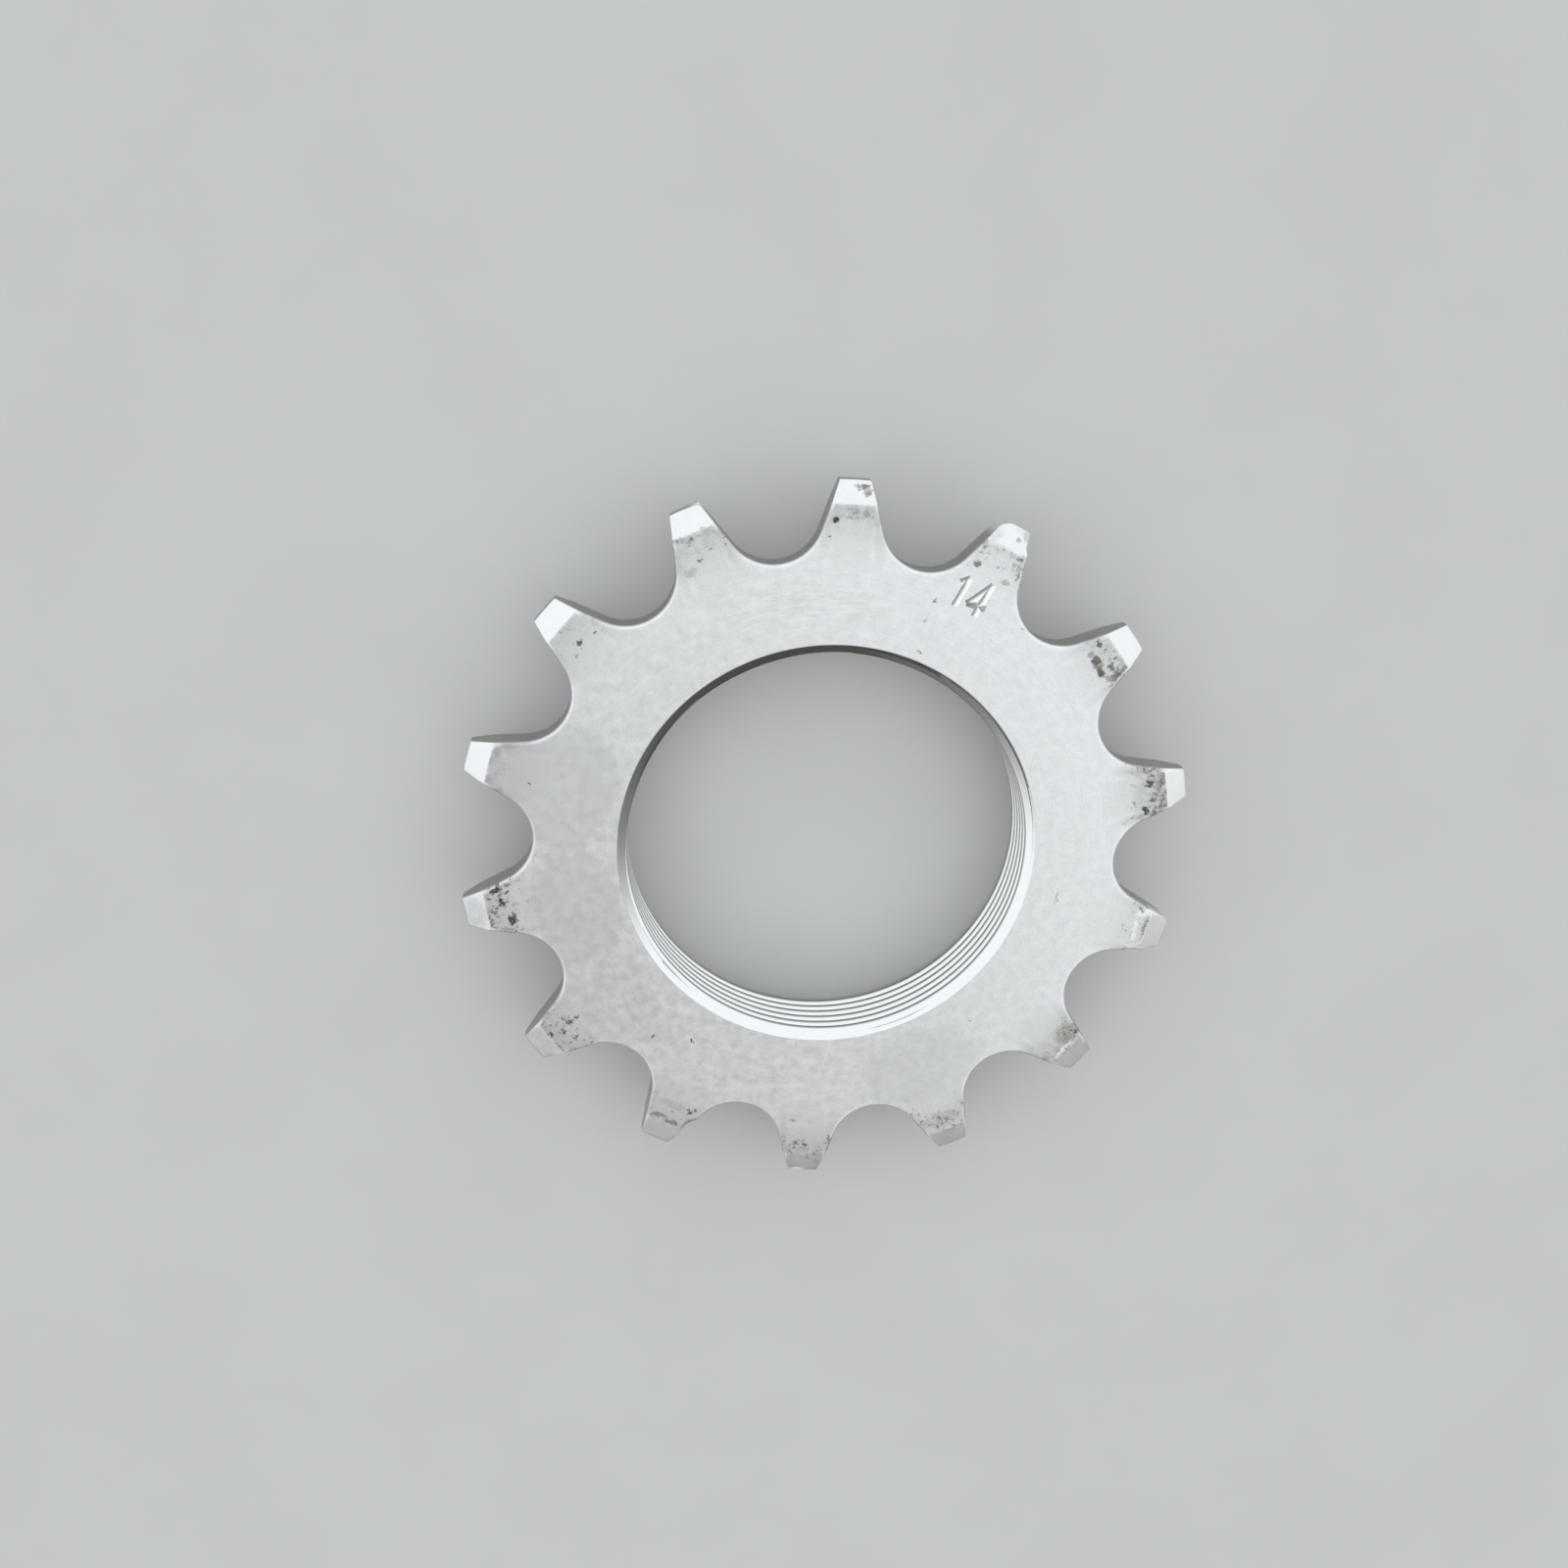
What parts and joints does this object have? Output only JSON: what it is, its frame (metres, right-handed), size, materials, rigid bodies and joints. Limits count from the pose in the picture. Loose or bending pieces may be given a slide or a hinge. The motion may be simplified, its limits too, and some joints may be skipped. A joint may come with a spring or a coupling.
{
  "type": "track cog",
  "caption": "Threaded fixed-wheel sprocket: a flat toothed steel ring with bevelled tooth tips, a short boss behind and a threaded bore that screws onto a bicycle hub.",
  "frame": {"origin": "centre of the bore on the back face of the boss, which is the face it lies on", "axes": "+Z along the bore towards the flat front face, +Y through the middle of one tooth"},
  "size_m": [0.0606, 0.0616, 0.0072],
  "materials": {
    "plated_steel": "satin, turned, with chain grime by the teeth"
  },
  "bodies": {
    "root": {"cog": "plated_steel"}
  },
  "joints": []
}
